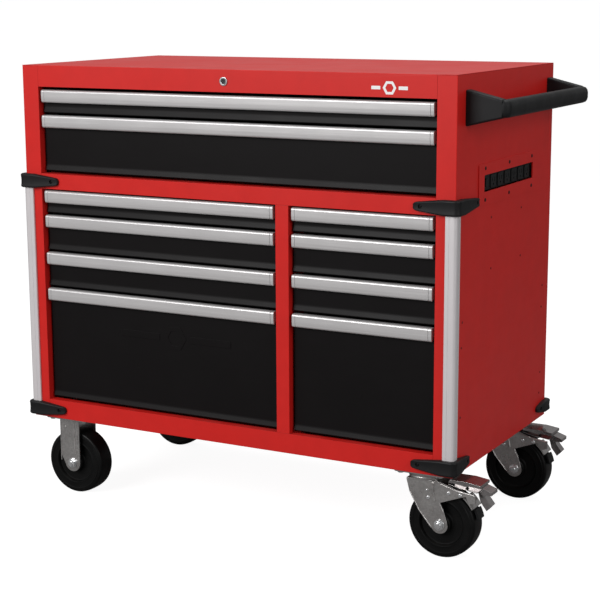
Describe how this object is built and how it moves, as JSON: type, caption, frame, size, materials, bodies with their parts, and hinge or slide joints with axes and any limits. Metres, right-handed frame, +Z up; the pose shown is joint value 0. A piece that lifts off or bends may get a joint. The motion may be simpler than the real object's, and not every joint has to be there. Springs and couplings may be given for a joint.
{
  "type": "rolling tool chest",
  "caption": "Sheet steel tool chest with full-width and two-column drawers, corner bumpers, an end push handle and an outlet strip, on rigid and braked swivel casters.",
  "frame": {"origin": "at floor level, under the middle of the overall length and depth", "axes": "+X along the chest towards the push handle, +Y from the drawer fronts to the back, +Z up"},
  "size_m": [1.1718, 0.585, 1.0125],
  "materials": {
    "red_powder_coat": "satin powder coat",
    "black_powder_coat": "satin powder coat",
    "satin_aluminium": "satin anodised",
    "zinc_plated_steel": "bright zinc plate, slightly dull",
    "black_plastic": "fine grained",
    "wheel_rubber": "smooth hard rubber",
    "bright_plating": "bright"
  },
  "bodies": {
    "cabinet": {"top_panel": "red_powder_coat", "bottom_pan": "red_powder_coat", "back_panel": "red_powder_coat", "left_side_panel": "red_powder_coat", "right_side_panel": "red_powder_coat", "shelf_divider": "red_powder_coat", "centre_partition": "red_powder_coat", "strip_cover_plate": "red_powder_coat", "left_slide_rails": "zinc_plated_steel", "right_slide_rails": "zinc_plated_steel", "left_corner_post": "satin_aluminium", "right_corner_post": "satin_aluminium", "upper_left_bumper": "black_plastic", "upper_right_bumper": "black_plastic", "lower_front_left_bumper": "black_plastic", "lower_front_right_bumper": "black_plastic", "lower_rear_left_bumper": "black_plastic", "lower_rear_right_bumper": "black_plastic", "handle_front_bracket": "black_plastic", "handle_rear_bracket": "black_plastic", "handle_bar": "black_plastic", "power_strip": "black_plastic", "lock_barrel": "bright_plating", "front_left_fork": "zinc_plated_steel", "front_left_axle": "zinc_plated_steel", "front_right_swivel_plate": "zinc_plated_steel", "rear_left_fork": "zinc_plated_steel", "rear_left_axle": "zinc_plated_steel", "rear_right_swivel_plate": "zinc_plated_steel"},
    "top_drawer_1": {"top_drawer_1": "black_powder_coat", "top_drawer_1_pull": "satin_aluminium"},
    "top_drawer_2": {"top_drawer_2": "black_powder_coat", "top_drawer_2_pull": "satin_aluminium"},
    "left_drawer_1": {"left_drawer_1": "black_powder_coat", "left_drawer_1_pull": "satin_aluminium"},
    "left_drawer_2": {"left_drawer_2": "black_powder_coat", "left_drawer_2_pull": "satin_aluminium"},
    "left_drawer_3": {"left_drawer_3": "black_powder_coat", "left_drawer_3_pull": "satin_aluminium"},
    "left_drawer_4": {"left_drawer_4": "black_powder_coat", "left_drawer_4_pull": "satin_aluminium"},
    "right_drawer_1": {"right_drawer_1": "black_powder_coat", "right_drawer_1_pull": "satin_aluminium"},
    "right_drawer_2": {"right_drawer_2": "black_powder_coat", "right_drawer_2_pull": "satin_aluminium"},
    "right_drawer_3": {"right_drawer_3": "black_powder_coat", "right_drawer_3_pull": "satin_aluminium"},
    "right_drawer_4": {"right_drawer_4": "black_powder_coat", "right_drawer_4_pull": "satin_aluminium"},
    "lock_plug": {"lock_plug": "bright_plating"},
    "front_left_wheel": {"front_left_wheel": "wheel_rubber"},
    "front_right_fork": {"front_right_fork": "zinc_plated_steel", "front_right_axle": "zinc_plated_steel"},
    "front_right_wheel": {"front_right_wheel": "wheel_rubber"},
    "front_right_brake_pedal": {"front_right_brake_pedal": "zinc_plated_steel"},
    "rear_left_wheel": {"rear_left_wheel": "wheel_rubber"},
    "rear_right_fork": {"rear_right_fork": "zinc_plated_steel", "rear_right_axle": "zinc_plated_steel"},
    "rear_right_wheel": {"rear_right_wheel": "wheel_rubber"},
    "rear_right_brake_pedal": {"rear_right_brake_pedal": "zinc_plated_steel"}
  },
  "joints": [
    {"name": "top_drawer_1_slide", "type": "slide", "parent": "cabinet", "child": "top_drawer_1", "axis": [0, -1, 0], "range_m": [0, 0.46]},
    {"name": "top_drawer_2_slide", "type": "slide", "parent": "cabinet", "child": "top_drawer_2", "axis": [0, -1, 0], "range_m": [0, 0.46]},
    {"name": "left_drawer_1_slide", "type": "slide", "parent": "cabinet", "child": "left_drawer_1", "axis": [0, -1, 0], "range_m": [0, 0.46]},
    {"name": "left_drawer_2_slide", "type": "slide", "parent": "cabinet", "child": "left_drawer_2", "axis": [0, -1, 0], "range_m": [0, 0.46]},
    {"name": "left_drawer_3_slide", "type": "slide", "parent": "cabinet", "child": "left_drawer_3", "axis": [0, -1, 0], "range_m": [0, 0.46]},
    {"name": "left_drawer_4_slide", "type": "slide", "parent": "cabinet", "child": "left_drawer_4", "axis": [0, -1, 0], "range_m": [0, 0.46]},
    {"name": "right_drawer_1_slide", "type": "slide", "parent": "cabinet", "child": "right_drawer_1", "axis": [0, -1, 0], "range_m": [0, 0.46]},
    {"name": "right_drawer_2_slide", "type": "slide", "parent": "cabinet", "child": "right_drawer_2", "axis": [0, -1, 0], "range_m": [0, 0.46]},
    {"name": "right_drawer_3_slide", "type": "slide", "parent": "cabinet", "child": "right_drawer_3", "axis": [0, -1, 0], "range_m": [0, 0.46]},
    {"name": "right_drawer_4_slide", "type": "slide", "parent": "cabinet", "child": "right_drawer_4", "axis": [0, -1, 0], "range_m": [0, 0.46]},
    {"name": "lock_turn", "type": "hinge", "parent": "cabinet", "child": "lock_plug", "pos_m": [-0.0395, -0.2795, 0.9875], "axis": [0, -1, 0], "range_deg": [0, 90]},
    {"name": "front_left_roll", "type": "hinge", "parent": "cabinet", "child": "front_left_wheel", "pos_m": [-0.489, -0.2195, 0.0762], "axis": [0, 1, 0], "continuous": true},
    {"name": "front_right_swivel", "type": "hinge", "parent": "cabinet", "child": "front_right_fork", "pos_m": [0.414, -0.2195, 0.1905], "axis": [0, 0, 1], "continuous": true},
    {"name": "front_right_roll", "type": "hinge", "parent": "front_right_fork", "child": "front_right_wheel", "pos_m": [0.456, -0.2195, 0.0762], "axis": [0, 1, 0], "continuous": true},
    {"name": "front_right_brake", "type": "hinge", "parent": "front_right_fork", "child": "front_right_brake_pedal", "pos_m": [0.492, -0.2195, 0.1505], "axis": [0, 1, 0], "range_deg": [0, 10]},
    {"name": "rear_left_roll", "type": "hinge", "parent": "cabinet", "child": "rear_left_wheel", "pos_m": [-0.489, 0.2195, 0.0762], "axis": [0, 1, 0], "continuous": true},
    {"name": "rear_right_swivel", "type": "hinge", "parent": "cabinet", "child": "rear_right_fork", "pos_m": [0.414, 0.2195, 0.1905], "axis": [0, 0, 1], "continuous": true},
    {"name": "rear_right_roll", "type": "hinge", "parent": "rear_right_fork", "child": "rear_right_wheel", "pos_m": [0.456, 0.2195, 0.0762], "axis": [0, 1, 0], "continuous": true},
    {"name": "rear_right_brake", "type": "hinge", "parent": "rear_right_fork", "child": "rear_right_brake_pedal", "pos_m": [0.492, 0.2195, 0.1505], "axis": [0, 1, 0], "range_deg": [0, 10]}
  ]
}
